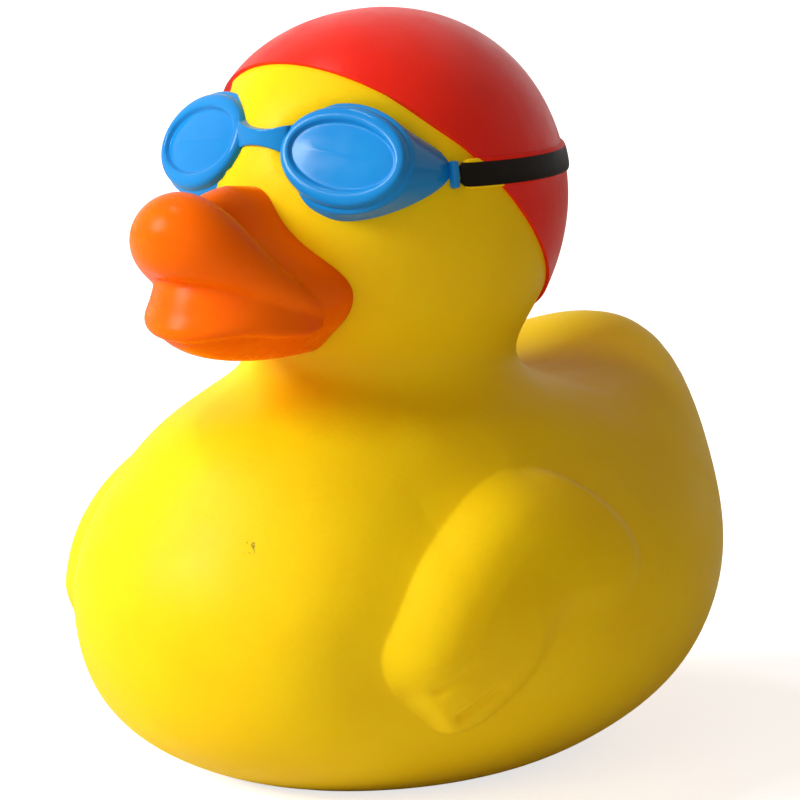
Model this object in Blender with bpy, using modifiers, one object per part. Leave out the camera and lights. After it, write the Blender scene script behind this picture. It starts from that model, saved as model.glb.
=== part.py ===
"""Bath duck with a swim cap and goggles, one hollow vinyl moulding that stands on its flat foot.

The duck faces -Y, its left side is +X and the foot rests on Z = 0. All sizes are in metres.
"""

import math

import bmesh
import bpy
import numpy as np
from mathutils import Matrix, Vector
from mathutils.bvhtree import BVHTree

# Overall sizes
HEIGHT = 0.0811
BODY_LENGTH = 0.0752
BODY_WIDTH = 0.0678
WALL = 0.002
VENT_DIAMETER = 0.003
# The neck stands this far in front of the middle of the duck.
HEAD_AHEAD = BODY_LENGTH * 0.0728

# Cap and strap
CAP_RISE = HEIGHT * 0.0049
CAP_PLANE_HEIGHT = HEIGHT * 0.7928
CAP_TILT = math.radians(46.5)
STRAP_RISE = HEIGHT * 0.0105
STRAP_TALL = HEIGHT * 0.0345
STRAP_HEIGHT = HEIGHT * 0.8052
STRAP_START = -BODY_LENGTH * 0.0572

# Goggles
LENS_WIDTH = BODY_WIDTH * 0.2286
LENS_TALL = HEIGHT * 0.1258
LENS_ASIDE = BODY_WIDTH * 0.1549
LENS_FORWARD = BODY_LENGTH * 0.1928
LENS_HEIGHT = HEIGHT * 0.8360
LENS_SPLAY = math.radians(14.0)
LENS_TILT = math.radians(21.5)
LENS_CANT = math.radians(7.8)
SKIRT_SPREAD = LENS_TALL * 0.098
CLIP_TURN = math.radians(67.5)
BRIDGE_TALL = LENS_TALL * 0.206
BRIDGE_LENGTH = LENS_WIDTH * 0.43

# Bill
BILL_WIDTH = BODY_WIDTH * 0.3068
BILL_TALL = HEIGHT * 0.2392
BILL_REACH = BODY_LENGTH * 0.4215
# The chin of the bill sits a little above the neck.
CHIN = HEIGHT * 0.5573

# Wings
WING_RISE = BODY_WIDTH * 0.0265
WING_MIDDLE = (-BODY_LENGTH * 0.1064, HEIGHT * 0.2848)

# Facets
SKIN_SEGMENTS = 54
SKIN_RINGS = 36
SMALL_SEGMENTS = 28
SMALL_RINGS = 14

# Each station gives the front, the left side and the back of one ring of the skin, from the foot up.
# Y is in parts of the body length, X in parts of the body width and Z in parts of the height.
STATIONS = (
    ((0.000, -0.011), (0.000, -0.011), (0.000, -0.011)),
    ((-0.215, -0.003), (0.248, 0.002), (0.287, -0.008)),
    ((-0.335, 0.043), (0.360, 0.048), (0.404, 0.036)),
    ((-0.408, 0.126), (0.460, 0.126), (0.507, 0.139)),
    ((-0.428, 0.252), (0.499, 0.239), (0.568, 0.258)),
    ((-0.378, 0.366), (0.459, 0.349), (0.571, 0.411)),
    ((-0.303, 0.464), (0.366, 0.427), (0.525, 0.546)),
    ((-0.207, 0.507), (0.282, 0.490), (0.352, 0.493)),
    ((-0.161, 0.546), (0.219, 0.538), (0.231, 0.528)),
    ((-0.184, 0.621), (0.253, 0.613), (0.250, 0.623)),
    ((-0.227, 0.752), (0.287, 0.757), (0.299, 0.753)),
    ((-0.152, 0.932), (0.210, 0.923), (0.224, 0.927)),
    ((0.044, 0.995), (0.000, 0.995), (0.044, 0.995)),
)
WAIST = 8

# Each station of the bill's base gives its height in parts of the bill's, its half width in parts of
# the bill's width, and how far forward its front and back lie in parts of the bill's reach.
BILL_STATIONS = (
    (0.000, 0.000, 0.540, 0.540),
    (0.026, 0.190, 0.730, 0.252),
    (0.118, 0.320, 0.850, 0.221),
    (0.247, 0.440, 0.850, 0.189),
    (0.423, 0.495, 0.770, 0.189),
    (0.644, 0.320, 0.767, 0.252),
    (0.815, 0.175, 0.780, 0.315),
    (0.925, 0.100, 0.770, 0.410),
    (0.975, 0.000, 0.647, 0.647),
)

# Each point of a lip, from the left corner of the mouth to the middle of the bill: how far to the left
# in parts of the bill's width, forward in parts of its reach, up in parts of its height, and how thick.
UPPER_LIP = (
    (0.447, 0.505, 0.310, 0.046),
    (0.395, 0.650, 0.450, 0.098),
    (0.275, 0.757, 0.585, 0.155),
    (0.000, 0.852, 0.732, 0.242),
)
LOWER_LIP = (
    (0.447, 0.505, 0.262, 0.046),
    (0.420, 0.620, 0.285, 0.085),
    (0.298, 0.735, 0.320, 0.124),
    (0.000, 0.838, 0.295, 0.150),
)

# Each ring of a goggle's rim from the lens outwards, in parts of the lens's height: how far outside the
# rim's edge it lies and how far in front of the lens plane.
CUP_RINGS = (
    (-0.420, -0.012),
    (-0.150, -0.043),
    (-0.130, -0.006),
    (-0.105, 0.003),
    (-0.030, -0.004),
    (0.000, -0.026),
    (0.004, -0.086),
    (0.058, -0.137),
)
SKIRT_SHARES = (0.35, 0.7, 1.0)

# The outline of the left wing from its top edge forward, as Y and Z in parts of the length and height.
WING_OUTLINE = (
    (-0.020, 0.433),
    (-0.102, 0.414),
    (-0.191, 0.364),
    (-0.249, 0.307),
    (-0.283, 0.249),
    (-0.287, 0.219),
    (-0.275, 0.186),
    (-0.258, 0.161),
    (-0.222, 0.142),
    (-0.189, 0.122),
    (-0.136, 0.150),
    (-0.105, 0.196),
    (-0.030, 0.236),
    (0.056, 0.249),
    (0.093, 0.291),
    (0.093, 0.352),
    (0.060, 0.407),
)


def loop_spline(knots, values, period, at):
    """A cubic spline that closes on itself."""
    knots = np.asarray(knots, float)
    values = np.asarray(values, float)
    count = len(knots)
    steps = np.diff(np.append(knots, knots[0] + period))
    matrix = np.zeros((count, count))
    right = np.zeros(count)
    for i in range(count):
        before, after = steps[i - 1], steps[i]
        last, following = (i - 1) % count, (i + 1) % count
        matrix[i, last] += before
        matrix[i, i] += 2 * (before + after)
        matrix[i, following] += after
        right[i] = 6 * ((values[following] - values[i]) / after - (values[i] - values[last]) / before)
    bend = np.linalg.solve(matrix, right)
    at = (np.asarray(at, float) - knots[0]) % period + knots[0]
    i = np.clip(np.searchsorted(knots, at, side="right") - 1, 0, count - 1)
    j = (i + 1) % count
    b = (at - knots[i]) / steps[i]
    a = 1 - b
    return a * values[i] + b * values[j] + ((a**3 - a) * bend[i] + (b**3 - b) * bend[j]) * steps[i] ** 2 / 6


def stations():
    """The stations in metres, as front, side and back arrays."""
    rows = np.array(STATIONS)
    scale = np.array([[BODY_LENGTH, HEIGHT], [BODY_WIDTH, HEIGHT], [BODY_LENGTH, HEIGHT]])
    rows = rows * scale
    return rows[:, 0], rows[:, 1], rows[:, 2]


def heights():
    """Where each station lies along the skin, from 0 at the foot."""
    front, side, back = stations()
    steps = sum(np.hypot(*np.diff(line, axis=0).T) for line in (front, side, back)) / 3
    return np.append(0, np.cumsum(steps))


def skin(along, turn):
    """Points of the skin: along runs from the foot to the crown, turn from the front round the left."""
    front, side, back = stations()
    at = heights()
    top = at[-1]
    loop = np.append(at, 2 * top - at[-2:0:-1])

    def round_trip(out, home):
        return np.append(out, home[-2:0:-1])

    here = along * top
    lines = {}
    for axis in (0, 1):
        both = round_trip(front[:, axis], back[:, axis])
        lines["front", axis] = loop_spline(loop, both, 2 * top, here)
        lines["back", axis] = loop_spline(loop, both, 2 * top, 2 * top - here)
    wide = loop_spline(loop, round_trip(side[:, 0], -side[:, 0]), 2 * top, here)
    level = loop_spline(loop, round_trip(side[:, 1], side[:, 1]), 2 * top, here)
    cos = np.cos(turn)
    middle = (lines["front", 0] + lines["back", 0]) / 2
    half = np.where(cos > 0, lines["front", 0] - middle, middle - lines["back", 0])
    lift = np.where(cos > 0, lines["front", 1] - level, lines["back", 1] - level)
    power = np.where(cos > 0, 2.0, 2.6)
    z = level + lift * np.abs(cos) ** power
    return np.stack([wide * np.sin(turn), middle + half * cos, np.maximum(z, 0)], axis=-1)


def collection(name):
    made = bpy.data.collections.new(name)
    bpy.context.scene.collection.children.link(made)
    return made


def vinyl(name, colour, roughness):
    material = bpy.data.materials.new(name)
    material.use_nodes = True
    shader = material.node_tree.nodes["Principled BSDF"]
    shader.inputs["Base Color"].default_value = (*colour, 1)
    shader.inputs["Roughness"].default_value = roughness
    material.diffuse_color = (*colour, 1)
    return material


def ball(segments, rings, place):
    """A closed form: a sphere whose points are moved to where place puts them."""
    bm = bmesh.new()
    bmesh.ops.create_uvsphere(bm, u_segments=segments, v_segments=rings, radius=1)
    points = place(np.array([v.co for v in bm.verts], float))
    for vertex, point in zip(bm.verts, points):
        vertex.co = point
    bmesh.ops.recalc_face_normals(bm, faces=bm.faces)
    return bm


def keep_behind(bm, point, normal):
    """Cuts the form on a plane, keeps the side that the normal points away from, and closes the cut."""
    geometry = bm.verts[:] + bm.edges[:] + bm.faces[:]
    bmesh.ops.bisect_plane(bm, geom=geometry, plane_co=point, plane_no=normal, clear_outer=True, dist=1e-7)
    bmesh.ops.holes_fill(bm, edges=[edge for edge in bm.edges if edge.is_boundary])
    bmesh.ops.recalc_face_normals(bm, faces=bm.faces)


def add(name, bm, group, material, mirrored=False):
    """An object of this form, set forward so that the whole duck is centred over the origin."""
    bmesh.ops.translate(bm, verts=bm.verts, vec=(0, -HEAD_AHEAD, 0))
    bmesh.ops.triangulate(bm, faces=bm.faces)
    mesh = bpy.data.meshes.new(name)
    bm.to_mesh(mesh)
    bm.free()
    mesh.materials.append(material)
    obj = bpy.data.objects.new(name, mesh)
    group.objects.link(obj)
    if mirrored:
        mirror = obj.modifiers.new("Other side", "MIRROR")
        mirror.use_mirror_merge = False
    return obj


def turned(points):
    """The place of each point of a unit sphere as a height from 0 to 1 and a turn from the front."""
    along = 1 - np.arccos(np.clip(points[:, 2], -1, 1)) / math.pi
    return along, np.arctan2(points[:, 0], -points[:, 1])


def body_form(segments, rings, offset=0):
    bm = ball(segments, rings, lambda points: skin(*turned(points)))
    push(bm, offset)
    return bm


def head_form(segments, rings, offset):
    """The head alone, from the waist of the neck up, with a flat bottom."""
    at = heights()
    start = at[WAIST] / at[-1]
    first = 1 / rings

    def place(points):
        along, turn = turned(points)
        rise = np.clip((along - first) / (1 - first), 0, 1)
        moved = skin(start + (1 - start) * rise, turn)
        bottom = along < first / 2
        ring = skin(np.full(2, start), np.array([0, math.pi]))
        moved[bottom] = ring.mean(axis=0)
        return moved

    bm = ball(segments, rings, place)
    push(bm, offset)
    return bm


def push(bm, distance):
    if not distance:
        return
    bm.normal_update()
    moves = [vertex.normal * distance for vertex in bm.verts]
    for vertex, move in zip(bm.verts, moves):
        vertex.co += move


def lens_frame():
    """The middle of the left lens and its outward, up and forward directions."""
    out = Vector((math.cos(LENS_SPLAY), math.sin(LENS_SPLAY), 0))
    ahead = Vector((math.sin(LENS_SPLAY), -math.cos(LENS_SPLAY), 0))
    up = Vector((0, 0, 1))
    facing = ahead * math.cos(LENS_TILT) + up * math.sin(LENS_TILT)
    rise = up * math.cos(LENS_TILT) - ahead * math.sin(LENS_TILT)
    across = out * math.cos(LENS_CANT) - rise * math.sin(LENS_CANT)
    over = rise * math.cos(LENS_CANT) + out * math.sin(LENS_CANT)
    middle = Vector((LENS_ASIDE, -LENS_FORWARD, LENS_HEIGHT))
    return middle, across, over, facing


def skirt_foot(turn, head_tree):
    """Where the skirt of a goggle meets the face, for each direction round the lens."""
    middle, across, over, facing = lens_frame()
    clip_at = on_skin(STRAP_HEIGHT, CLIP_TURN)[0]
    to_side = np.maximum(np.cos(turn), 0)
    wide = LENS_WIDTH / 2 + SKIRT_SPREAD
    tall = LENS_TALL / 2 + SKIRT_SPREAD
    a = wide * np.cos(turn) + ((clip_at - middle).dot(across) - wide) * to_side**1.3
    b = tall * np.sin(turn) * (1 - 0.25 * to_side) + (clip_at - middle).dot(over) * to_side**2
    spots = []
    for aside, high in zip(a, b):
        start = middle + across * aside + over * high + facing * LENS_TALL
        hit = head_tree.ray_cast(start, -facing)[0]
        spots.append(np.array(hit if hit else start - facing * LENS_TALL * 3))
    return np.array(spots)


def cup_form(segments):
    """One goggle: a sunk lens, a raised rim and a skirt that tapers along the temple."""
    # Each ring: how far outside the rim's edge it lies and how far in front of the lens plane.
    rim = np.array(CUP_RINGS) * LENS_TALL
    count = len(rim) + len(SKIRT_SHARES) + 2
    middle, across, over, facing = lens_frame()
    ways = np.array((facing, across, over))
    head = head_form(SKIN_SEGMENTS, SKIN_RINGS, 0)
    head_tree = BVHTree.FromBMesh(head)
    head.free()

    def place(points):
        along, turn = turned(points)
        ring = np.rint((1 - along) * count).astype(int)
        index = np.clip(ring - 1, 0, len(rim) - 1)
        out, ahead = rim[index].T
        a = (LENS_WIDTH / 2 + out) * np.cos(turn)
        b = (LENS_TALL / 2 + out) * np.sin(turn)
        moved = np.array(middle) + np.stack([ahead, a, b], axis=-1) @ ways
        foot = skirt_foot(turn, head_tree)
        shares = np.append(SKIRT_SHARES, 1)
        share = shares[np.clip(ring - len(rim) - 1, 0, len(shares) - 1)]
        sunk = np.where(ring == count - 1, LENS_TALL * 0.2, LENS_TALL * 0.03 * share)
        skirt = moved + (foot - moved) * share[:, None] - np.outer(sunk, facing)
        moved = np.where((ring > len(rim))[:, None], skirt, moved)
        moved[ring == 0] = np.array(middle + facing * rim[0, 1])
        moved[ring == count] = np.array(middle - facing * LENS_TALL)
        moved[:, 0] = np.maximum(moved[:, 0], LENS_ASIDE * 0.08)
        return moved

    return ball(segments, count, place)


def block_form(size, matrix, soft):
    """A small block with rounded edges."""
    bm = bmesh.new()
    bmesh.ops.create_cube(bm, size=1)
    bmesh.ops.scale(bm, vec=size, verts=bm.verts)
    bmesh.ops.bevel(
        bm, geom=bm.edges[:], affect="EDGES", offset=soft, segments=2, profile=0.5, material=-1
    )
    bmesh.ops.transform(bm, matrix=matrix, verts=bm.verts)
    return bm


def strap_form():
    bm = head_form(SKIN_SEGMENTS, SKIN_RINGS // 2, STRAP_RISE)
    keep_behind(bm, (0, 0, STRAP_HEIGHT + STRAP_TALL / 2), (0, 0, 1))
    keep_behind(bm, (0, 0, STRAP_HEIGHT - STRAP_TALL / 2), (0, 0, -1))
    keep_behind(bm, (0, STRAP_START, 0), (0, -1, 0))
    return bm


def cap_form():
    bm = head_form(SKIN_SEGMENTS, SKIN_RINGS // 2, CAP_RISE)
    normal = Vector((0, -math.sin(CAP_TILT), -math.cos(CAP_TILT)))
    keep_behind(bm, (0, 0, CAP_PLANE_HEIGHT), normal)
    return bm


def bill_root_form(segments, rings):
    """The thick base of the bill: level rings, widest at the corners of the mouth."""
    table = np.array(BILL_STATIONS)
    at = np.append(0, np.cumsum(np.hypot(np.diff(table[:, 0]), np.diff(table[:, 1]))))
    top = at[-1]
    loop = np.append(at, 2 * top - at[-2:0:-1])

    def line(column, sign):
        values = table[:, column]
        return lambda here: loop_spline(loop, np.append(values, sign * values[-2:0:-1]), 2 * top, here)

    level, wide, ahead, behind = line(0, 1), line(1, -1), line(2, 1), line(3, 1)

    def place(points):
        along, turn = turned(points)
        here = along * top
        cos = np.cos(turn)
        sin = np.sin(turn)
        middle = (ahead(here) + behind(here)) / 2
        half = (ahead(here) - behind(here)) / 2
        x = wide(here) * np.sign(sin) * np.abs(sin) ** 0.85
        y = -middle - half * np.sign(cos) * np.abs(cos) ** 0.85
        return np.stack([x * BILL_WIDTH, y * BILL_REACH, CHIN + level(here) * BILL_TALL], axis=-1)

    return ball(segments, rings, place)


def roll_form(table, segments, rings, square=1.0, lean=0.0, reach_up=1.0):
    """A lip bent round from one corner of the mouth to the other: round, or squarer and leaning out."""
    left = np.array([(x * BILL_WIDTH, -y * BILL_REACH, CHIN + z * BILL_TALL) for x, y, z, r in table])
    path = np.concatenate([left, left[-2::-1] * (-1, 1, 1)])
    thick = np.array([row[3] * BILL_TALL for row in table])
    thick = np.append(thick, thick[-2::-1])
    at = np.append(0, np.cumsum(np.linalg.norm(np.diff(path, axis=0), axis=1)))
    end = at[-1]
    around = end + 2 * left[0, 0]

    def follow(here):
        """The middle line of the roll and how thick it is there."""
        lines = [loop_spline(at, line, around, here) for line in (*path.T, thick)]
        return np.stack(lines[:3], axis=-1), lines[3]

    def place(points):
        along, turn = turned(points)
        here = along * end
        centre, radius = follow(here)
        step = end * 0.005
        ahead = follow(here + step)[0] - follow(here - step)[0]
        ahead /= np.linalg.norm(ahead, axis=1)[:, None]
        side = np.cross(ahead, (0, 0, 1))
        side /= np.linalg.norm(side, axis=1)[:, None]
        over = np.cross(side, ahead)
        grow = (radius * np.sqrt(np.clip(1 - np.abs(2 * along - 1) ** 8, 0, 1)))[:, None]
        out = -np.sin(turn)
        out = np.sign(out) * np.abs(out) ** square
        up = np.sign(np.cos(turn)) * np.abs(np.cos(turn)) ** square
        # The hidden inner side is flatter, as the roll bends round it.
        out = out * np.where(out < 0, 0.45, 1) - lean * (up + 0.4) * np.clip(out * 2, 0, 1)
        up = up * np.where(up > 0, reach_up, 1)
        return centre + grow * (over * up[:, None] - side * out[:, None])

    return ball(segments, rings, place)


def wing_form(skin_bm, segments, rings):
    """The left wing, a pad that follows the side of the body and sinks into it at the back."""
    tree = BVHTree.FromBMesh(skin_bm)
    outline = np.array(WING_OUTLINE) * (BODY_LENGTH, HEIGHT) - WING_MIDDLE
    bearing = np.unwrap(np.arctan2(outline[:, 1], outline[:, 0]))
    reach = np.hypot(*outline.T)
    centre = np.array((0, 0, WING_MIDDLE[1]))

    def place(points):
        a, b, c = points.T
        radius = np.hypot(a, b)
        angle = np.arctan2(b, a)
        far = loop_spline(bearing, reach, 2 * math.pi, angle)
        y = WING_MIDDLE[0] + radius * far * np.cos(angle)
        z = WING_MIDDLE[1] + radius * far * np.sin(angle)
        moved = []
        for here, across, up, high in zip(y, y, z, c):
            start = Vector((BODY_WIDTH, across, up))
            hit = tree.ray_cast(start, Vector((-1, 0, 0)))[0]
            out = (np.array(hit) - centre) * (1, 1, 0.6)
            out /= np.linalg.norm(out)
            front = np.clip((BODY_LENGTH * 0.08 - here) / (BODY_LENGTH * 0.32), 0, 1)
            rise = WING_RISE * (0.3 + 0.7 * front**0.7)
            # The top stays level and rounds off towards the edge, in a broader curve at the front.
            inner = 1 - math.sqrt(max(1 - high * high, 0))
            broad = 0.15 + 0.40 * front**1.3
            height = rise * math.sin(math.pi / 2 * min(inner / broad, 1)) if high > 0 else WALL * 0.9 * high
            moved.append(np.array(hit) + out * (height - WALL * 0.1))
        return np.array(moved)

    return ball(segments, rings, place)


def on_skin(height, turn):
    """A point of the skin and its outward direction, found by its height and its turn from the front."""
    at = heights()
    run = np.linspace(at[WAIST] / at[-1], 1, 400)
    points = skin(run, np.full(400, turn))
    i = int(np.argmin(np.abs(points[:, 2] - height)))
    step = 1e-3
    around = skin(np.full(2, run[i]), np.array([turn - step, turn + step]))
    rise = skin(np.array([run[i] - step, run[i] + step]), np.full(2, turn))
    out = Vector(np.cross(around[1] - around[0], rise[1] - rise[0])).normalized()
    return Vector(points[i]), out


def join(target, operation, other):
    boolean = target.modifiers.new(other.name, "BOOLEAN")
    boolean.operation = operation
    boolean.solver = "EXACT"
    boolean.material_mode = "TRANSFER"
    boolean.object = other


for leftover in list(bpy.data.objects):
    bpy.data.objects.remove(leftover)

duck_parts = collection("Bath duck")
forms = collection("Forms")

yellow = vinyl("Yellow vinyl", (0.90, 0.62, 0.02), 0.42)
red = vinyl("Red paint", (0.75, 0.03, 0.02), 0.38)
blue = vinyl("Blue paint", (0.04, 0.27, 0.75), 0.25)
orange = vinyl("Orange paint", (0.90, 0.16, 0.01), 0.30)
black = vinyl("Black paint", (0.012, 0.012, 0.012), 0.40)

# Skin
skin_bm = body_form(SKIN_SEGMENTS, SKIN_RINGS)
wings_bm = wing_form(skin_bm, SMALL_SEGMENTS, SMALL_RINGS)
duck = add("duck_body", skin_bm, duck_parts, yellow)

# Wings
wings = add("wings", wings_bm, forms, yellow, mirrored=True)

# Cap
cap = add("cap", cap_form(), forms, red)

# Bill
root = add("bill_root", bill_root_form(SMALL_SEGMENTS, SMALL_RINGS), forms, orange)
upper = add("upper_lip", roll_form(UPPER_LIP, SMALL_SEGMENTS // 2, SMALL_RINGS * 2), forms, orange)
lower_bm = roll_form(LOWER_LIP, SMALL_SEGMENTS // 2, SMALL_RINGS * 2, square=0.75, lean=0.38, reach_up=1.4)
lower = add("lower_lip", lower_bm, forms, orange)

# Goggles
cups = add("cups", cup_form(SMALL_SEGMENTS), forms, blue, mirrored=True)
bridge_at, bridge_out = on_skin(LENS_HEIGHT + LENS_TALL * 0.098, 0)
bridge = add(
    "bridge",
    block_form(
        (BRIDGE_LENGTH, BRIDGE_TALL * 1.4, BRIDGE_TALL),
        Matrix.Translation(bridge_at - bridge_out * BRIDGE_TALL * 0.2),
        BRIDGE_TALL * 0.24,
    ),
    forms,
    blue,
)
clip_at, clip_out = on_skin(STRAP_HEIGHT, CLIP_TURN)
clip = add(
    "clips",
    block_form(
        (STRAP_TALL * 0.95, STRAP_TALL * 0.44, STRAP_TALL * 1.3),
        Matrix.Translation(clip_at) @ clip_out.to_track_quat("X", "Z").to_matrix().to_4x4(),
        STRAP_TALL * 0.12,
    ),
    forms,
    blue,
    mirrored=True,
)

# Strap
strap = add("strap", strap_form(), forms, black)

# Inside
hollow = add("hollow", body_form(SKIN_SEGMENTS // 2, SKIN_RINGS // 2, -WALL), forms, yellow)
vent_bm = bmesh.new()
bmesh.ops.create_cone(
    vent_bm,
    cap_ends=True,
    segments=24,
    radius1=VENT_DIAMETER / 2,
    radius2=VENT_DIAMETER / 2,
    depth=WALL * 3,
)
vent = add("vent", vent_bm, forms, yellow)

for form in (wings, root, upper, lower, cap, strap, cups, bridge, clip):
    join(duck, "UNION", form)
for form in (hollow, vent):
    join(duck, "DIFFERENCE", form)
for form in forms.objects:
    form.hide_render = True
    form.display_type = "WIRE"
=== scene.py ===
# %% [markdown]
# # A bath duck with a swim cap and goggles
# The real duck is one hollow vinyl moulding. The cap, the goggles, their strap and the bill are raised
# a little in the mould and then painted. Each cell then makes one region with far more faces, in the
# same place, and gives it the finish of vinyl or of paint on vinyl.

# %% Load the frame
import math

import bmesh
import bpy
import numpy as np
from mathutils import Matrix, Vector
from mathutils.bvhtree import BVHTree
from mathutils.kdtree import KDTree


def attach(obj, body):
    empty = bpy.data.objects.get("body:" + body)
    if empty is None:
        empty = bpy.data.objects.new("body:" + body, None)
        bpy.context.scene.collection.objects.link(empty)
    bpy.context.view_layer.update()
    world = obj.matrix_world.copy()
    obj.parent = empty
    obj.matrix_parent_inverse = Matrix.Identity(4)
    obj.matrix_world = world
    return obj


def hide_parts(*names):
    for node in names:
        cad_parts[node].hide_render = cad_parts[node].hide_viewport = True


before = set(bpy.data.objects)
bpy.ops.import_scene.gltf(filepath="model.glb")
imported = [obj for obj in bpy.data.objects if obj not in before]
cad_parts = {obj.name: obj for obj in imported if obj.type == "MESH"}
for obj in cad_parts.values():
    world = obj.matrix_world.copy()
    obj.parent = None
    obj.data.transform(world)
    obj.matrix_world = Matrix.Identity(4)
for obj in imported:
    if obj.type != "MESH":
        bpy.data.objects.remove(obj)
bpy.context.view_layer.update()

# %% [markdown]
# ## Camera
# The photo looks down a little on the duck's front left. The camera stands there, aims at the middle of
# the duck and uses a long lens, so near and far parts keep nearly the same scale. A camera looks along
# its own -Z, so its matrix is built from three directions: right, up and back.

# %% Camera at the photo's angle
CAMERA_TURN = math.radians(43)
CAMERA_RISE = math.radians(10)
CAMERA_DISTANCE = 0.450
CAMERA_AIM = Vector((0, 0.00010, 0.03831))
CAMERA_NEAREST = 0.01
SENSOR_WIDTH = 36
FRAME_PIXELS = 800
PIXELS_PER_METRE = 9200

level_share = math.cos(CAMERA_RISE)
camera_back = Vector(
    (math.sin(CAMERA_TURN) * level_share, -math.cos(CAMERA_TURN) * level_share, math.sin(CAMERA_RISE))
)
camera_right = Vector((math.cos(CAMERA_TURN), math.sin(CAMERA_TURN), 0))
camera_up = camera_back.cross(camera_right)
frame_width = FRAME_PIXELS / PIXELS_PER_METRE
camera_data = bpy.data.cameras.new("photo_camera")
camera_data.sensor_width = SENSOR_WIDTH
camera_data.lens = SENSOR_WIDTH * CAMERA_DISTANCE / frame_width
camera_data.clip_start = CAMERA_NEAREST
camera = bpy.data.objects.new("photo_camera", camera_data)
camera.matrix_world = Matrix.Translation(CAMERA_AIM + camera_back * CAMERA_DISTANCE) @ Matrix(
    (camera_right, camera_up, camera_back)
).transposed().to_4x4()
bpy.context.scene.collection.objects.link(camera)
bpy.context.scene.camera = camera
print("lens", round(camera_data.lens), "mm")

# %% [markdown]
# ## Sizes
# The duck is built from the same sizes as its CAD part. Everything is modelled round the axis of the
# neck and moved by HEAD_AHEAD at the end, because the part's origin lies under the middle of the body.

# %% Overall sizes
HEIGHT = 0.0811
BODY_LENGTH = 0.0752
BODY_WIDTH = 0.0678
CHIN = HEIGHT * 0.5573
HEAD_AHEAD = BODY_LENGTH * 0.0728
STRAP_HEIGHT = 0.0653
STRAP_TALL = 0.0025
print("the neck's axis lies", round(1000 * HEAD_AHEAD, 1), "mm in front of the origin")

# %% [markdown]
# ## The rings of the skin
# A moulded duck has no straight edge anywhere, so its skin is a loft: a stack of rings that a smooth
# curve runs through from the foot to the crown. Each ring needs three points, at the front, the left
# side and the back, given as shares of the length, the width and the height, so the numbers read as
# proportions. A spline that closes on itself takes the curve up the front and down the back in one go,
# which keeps the foot and the crown round without a special case.

# %% Rings from the foot to the crown
STATIONS = (
    ((0.000, -0.011), (0.000, -0.011), (0.000, -0.011)),
    ((-0.215, -0.003), (0.248, 0.002), (0.287, -0.008)),
    ((-0.335, 0.043), (0.360, 0.048), (0.404, 0.036)),
    ((-0.408, 0.126), (0.460, 0.126), (0.507, 0.139)),
    ((-0.428, 0.252), (0.499, 0.239), (0.568, 0.258)),
    ((-0.378, 0.366), (0.459, 0.349), (0.571, 0.411)),
    ((-0.303, 0.464), (0.366, 0.427), (0.525, 0.546)),
    ((-0.207, 0.507), (0.282, 0.490), (0.352, 0.493)),
    ((-0.161, 0.546), (0.219, 0.538), (0.231, 0.528)),
    ((-0.184, 0.621), (0.253, 0.613), (0.250, 0.623)),
    ((-0.227, 0.752), (0.287, 0.757), (0.299, 0.753)),
    ((-0.152, 0.932), (0.210, 0.923), (0.224, 0.927)),
    ((0.044, 0.995), (0.000, 0.995), (0.044, 0.995)),
)
WAIST = 8


def loop_spline(knots, values, period, at):
    """A cubic spline that closes on itself."""
    knots = np.asarray(knots, float)
    values = np.asarray(values, float)
    count = len(knots)
    steps = np.diff(np.append(knots, knots[0] + period))
    matrix = np.zeros((count, count))
    right = np.zeros(count)
    for i in range(count):
        before, after = steps[i - 1], steps[i]
        last, following = (i - 1) % count, (i + 1) % count
        matrix[i, last] += before
        matrix[i, i] += 2 * (before + after)
        matrix[i, following] += after
        right[i] = 6 * ((values[following] - values[i]) / after - (values[i] - values[last]) / before)
    bend = np.linalg.solve(matrix, right)
    at = (np.asarray(at, float) - knots[0]) % period + knots[0]
    i = np.clip(np.searchsorted(knots, at, side="right") - 1, 0, count - 1)
    j = (i + 1) % count
    b = (at - knots[i]) / steps[i]
    a = 1 - b
    return a * values[i] + b * values[j] + ((a**3 - a) * bend[i] + (b**3 - b) * bend[j]) * steps[i] ** 2 / 6


rings = np.array(STATIONS) * np.array([[BODY_LENGTH, HEIGHT], [BODY_WIDTH, HEIGHT], [BODY_LENGTH, HEIGHT]])
front_line, side_line, back_line = rings[:, 0], rings[:, 1], rings[:, 2]
ring_steps = sum(np.hypot(*np.diff(line, axis=0).T) for line in (front_line, side_line, back_line)) / 3
ring_at = np.append(0, np.cumsum(ring_steps))
waist_at = ring_at[WAIST] / ring_at[-1]
print(len(rings), "rings along", round(1000 * ring_at[-1], 1), "mm of skin")

# %% [markdown]
# ## A point anywhere on the skin
# Two numbers name a point of the skin: how far along it lies from the foot to the crown, and how far
# it is turned from the front round the left. The height of a ring changes round it, because the tail
# and the breast rise differently. Anything below the ground is lifted to it, which makes the flat foot.

# %% The skin as a function
LIFT_TO_FRONT = 2.0
LIFT_TO_BACK = 2.6


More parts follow.
